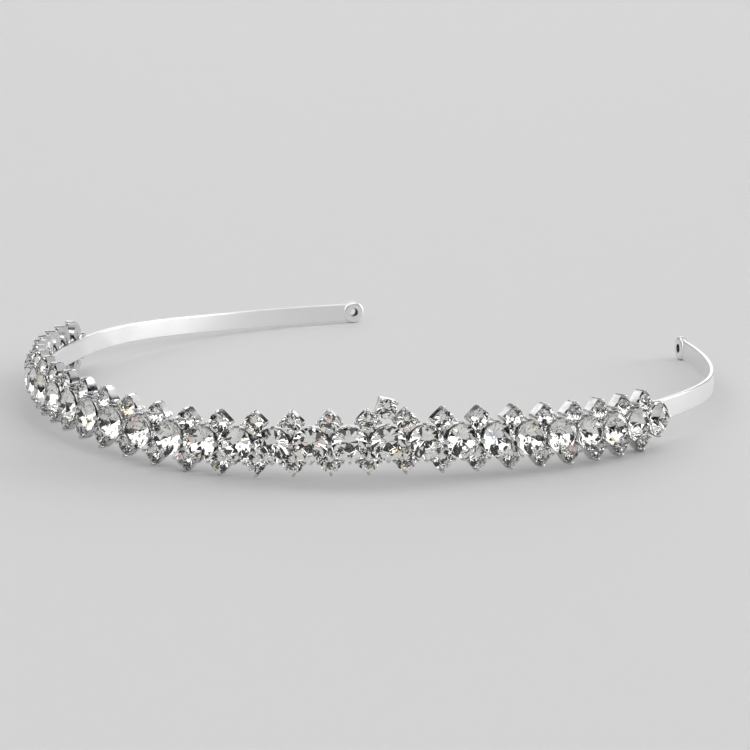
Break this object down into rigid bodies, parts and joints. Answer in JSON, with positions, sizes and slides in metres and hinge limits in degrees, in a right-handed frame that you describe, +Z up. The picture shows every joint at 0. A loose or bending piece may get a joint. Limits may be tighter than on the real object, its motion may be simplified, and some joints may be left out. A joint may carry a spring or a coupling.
{
  "type": "rhinestone tiara",
  "caption": "Flat metal headband lying on its edge, open at the back, with rows of round cut stones in claw cups across the front and an eyelet at each end.",
  "frame": {"origin": "middle of the tiara's length and width on the surface that it lies on", "axes": "+X to the right of the viewer who faces the forehead side, -Y out of the forehead side, +Y towards the two ends, +Z up from the surface, across the band's flat strip"},
  "size_m": [0.1482, 0.1633, 0.0167],
  "materials": {
    "polished_metal": "polished silver-coloured plating",
    "clear_stone": "clear cut glass with a silvered back"
  },
  "bodies": {
    "root": {"headband": "polished_metal", "stone_settings": "polished_metal", "stone_01": "clear_stone", "stone_02": "clear_stone", "stone_03": "clear_stone", "stone_04": "clear_stone", "stone_05": "clear_stone", "stone_06": "clear_stone", "stone_07": "clear_stone", "stone_08": "clear_stone", "stone_09": "clear_stone", "stone_10": "clear_stone", "stone_11": "clear_stone", "stone_12": "clear_stone", "stone_13": "clear_stone", "stone_14": "clear_stone", "stone_15": "clear_stone", "stone_16": "clear_stone", "stone_17": "clear_stone", "stone_18": "clear_stone", "stone_19": "clear_stone", "stone_20": "clear_stone", "stone_21": "clear_stone", "stone_22": "clear_stone", "stone_23": "clear_stone", "stone_24": "clear_stone", "stone_25": "clear_stone", "stone_26": "clear_stone", "stone_27": "clear_stone", "stone_28": "clear_stone", "stone_29": "clear_stone", "stone_30": "clear_stone", "upper_stones": "clear_stone", "lower_stones": "clear_stone", "crest_stone": "clear_stone"}
  },
  "joints": []
}
